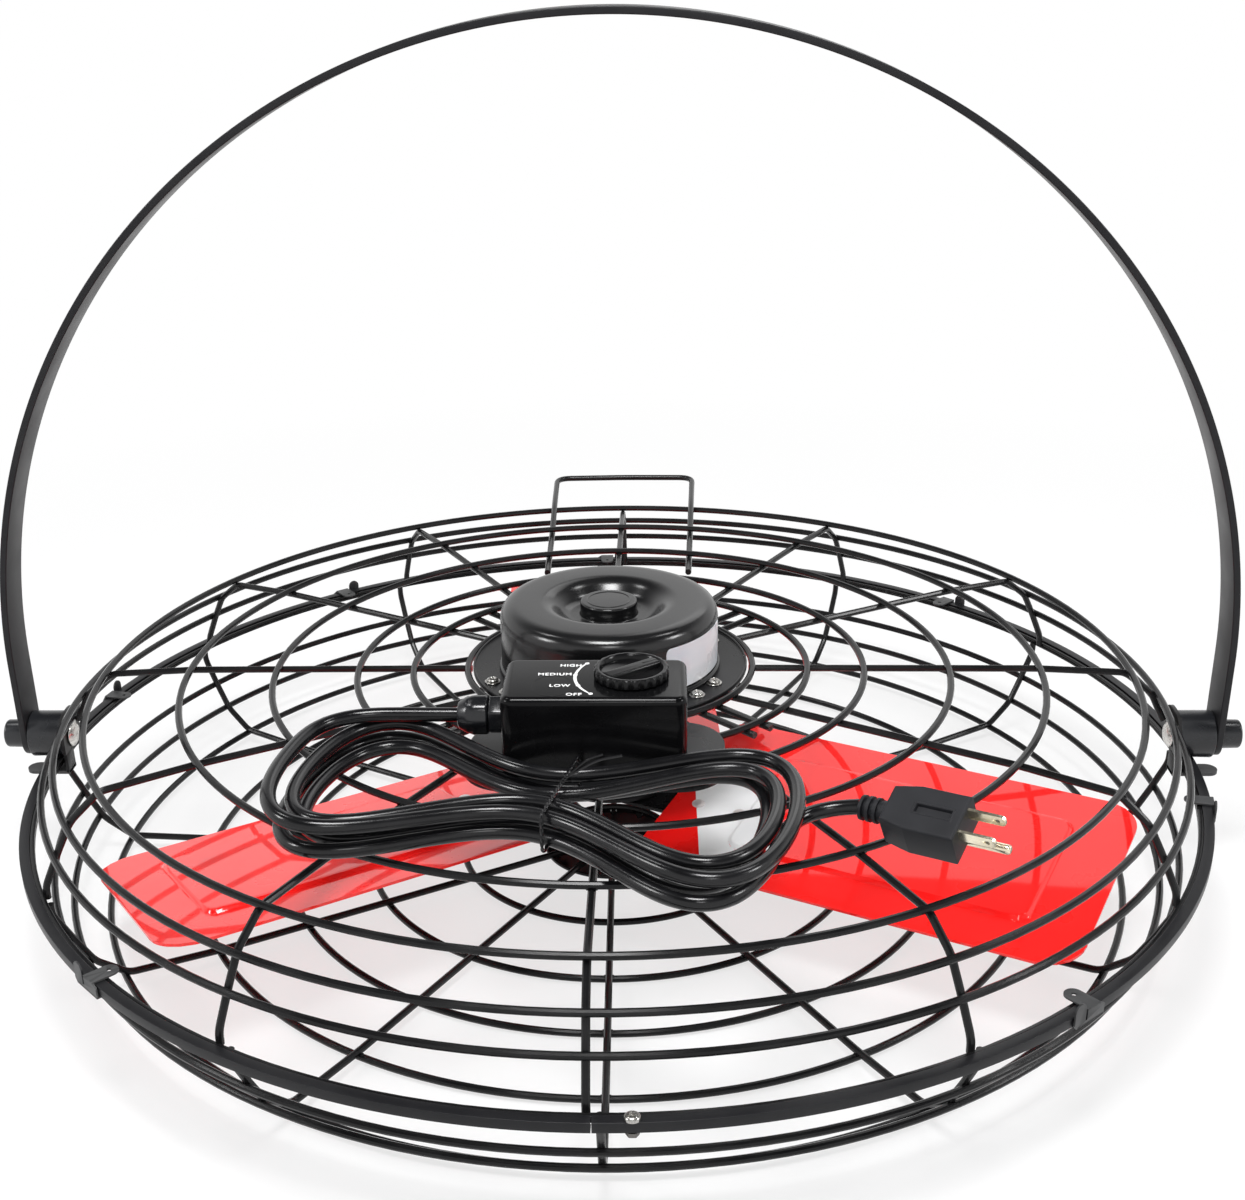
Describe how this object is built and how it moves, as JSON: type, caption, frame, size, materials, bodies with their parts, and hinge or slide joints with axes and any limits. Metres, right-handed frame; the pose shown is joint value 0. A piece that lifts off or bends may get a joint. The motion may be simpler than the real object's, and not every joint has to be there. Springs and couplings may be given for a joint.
{
  "type": "stir fan",
  "caption": "Round barn fan in a wire basket with a bladed propeller, rear motor, switch box, coiled mains cord and a swinging hanging bail.",
  "frame": {"origin": "centre of the front centre plate's flat face, which lies on the floor on the fan's axis", "axes": "+Z along the fan's axis from the front plate to the motor, X along the bail's pivots, the switch box towards -Y"},
  "size_m": [0.7396, 0.7051, 0.483],
  "materials": {
    "wire": "semi-gloss black paint on wire",
    "painted": "semi-gloss black paint on sheet steel",
    "grey": "dark grey coated spring sheet",
    "red": "gloss red paint on sheet",
    "steel": "bright steel",
    "brass": "plated brass",
    "black": "gloss black paint",
    "knob": "black moulded plastic",
    "rubber": "black flexible cord jacket",
    "plug": "moulded plug",
    "switch": "moulded switch body",
    "cell": "capacitor case"
  },
  "bodies": {
    "basket": {"rear_guard": "wire", "front_guard": "wire", "tilt_handle": "wire", "front_centre_plate": "painted", "clamp_band": "painted", "motor_mount_plate": "painted", "motor_front_bell": "painted", "switch_box_tray": "painted", "pivot_bracket_right": "painted", "pivot_bracket_left": "painted", "pivot_spacer_right": "painted", "pivot_spacer_left": "painted", "guard_clip_1": "grey", "guard_clip_2": "grey", "guard_clip_3": "grey", "guard_clip_4": "grey", "guard_clip_5": "grey", "guard_clip_6": "grey", "guard_clip_7": "grey", "clamp_screw": "steel", "clamp_nut": "steel", "stator_core": "steel", "pivot_bolt_right": "steel", "pivot_bolt_left": "steel", "motor_rear_case": "black", "switch_box_cover": "black", "cord_gland_body": "knob", "cord_gland_nut": "knob", "speed_switch": "switch", "run_capacitor": "cell", "power_cord": "rubber", "cord_hank": "rubber", "cord_tail": "rubber", "cord_tie": "rubber", "plug_body": "plug", "plug_blade_near": "brass", "plug_blade_far": "brass", "plug_ground_pin": "brass"},
    "propeller": {"rotor": "steel", "motor_shaft": "steel", "propeller_hub": "painted", "propeller_blade_1": "red", "propeller_blade_2": "red", "propeller_blade_3": "red"},
    "dial": {"speed_knob": "knob", "switch_stem": "steel"},
    "bail_body": {"bail": "painted"},
    "right_knob": {"pivot_knob_right": "knob"},
    "left_knob": {"pivot_knob_left": "knob"}
  },
  "joints": [
    {"name": "propeller_spin", "type": "hinge", "parent": "basket", "child": "propeller", "pos_m": [0, 0, 0.052], "axis": [0, 0, 1], "continuous": true},
    {"name": "speed_knob_turn", "type": "hinge", "parent": "basket", "child": "dial", "pos_m": [0.016, -0.129, 0.175], "axis": [0, 0, 1], "range_deg": [-100, 0]},
    {"name": "bail_swing", "type": "hinge", "parent": "basket", "child": "bail_body", "pos_m": [0, 0, 0.077], "axis": [1, 0, 0], "range_deg": [-95, 95]},
    {"name": "pivot_knob_right_turn", "type": "hinge", "parent": "basket", "child": "right_knob", "pos_m": [0.364, 0, 0.077], "axis": [1, 0, 0], "range_deg": [0, 180]},
    {"name": "pivot_knob_left_turn", "type": "hinge", "parent": "basket", "child": "left_knob", "pos_m": [-0.364, 0, 0.077], "axis": [1, 0, 0], "range_deg": [0, 180]}
  ]
}
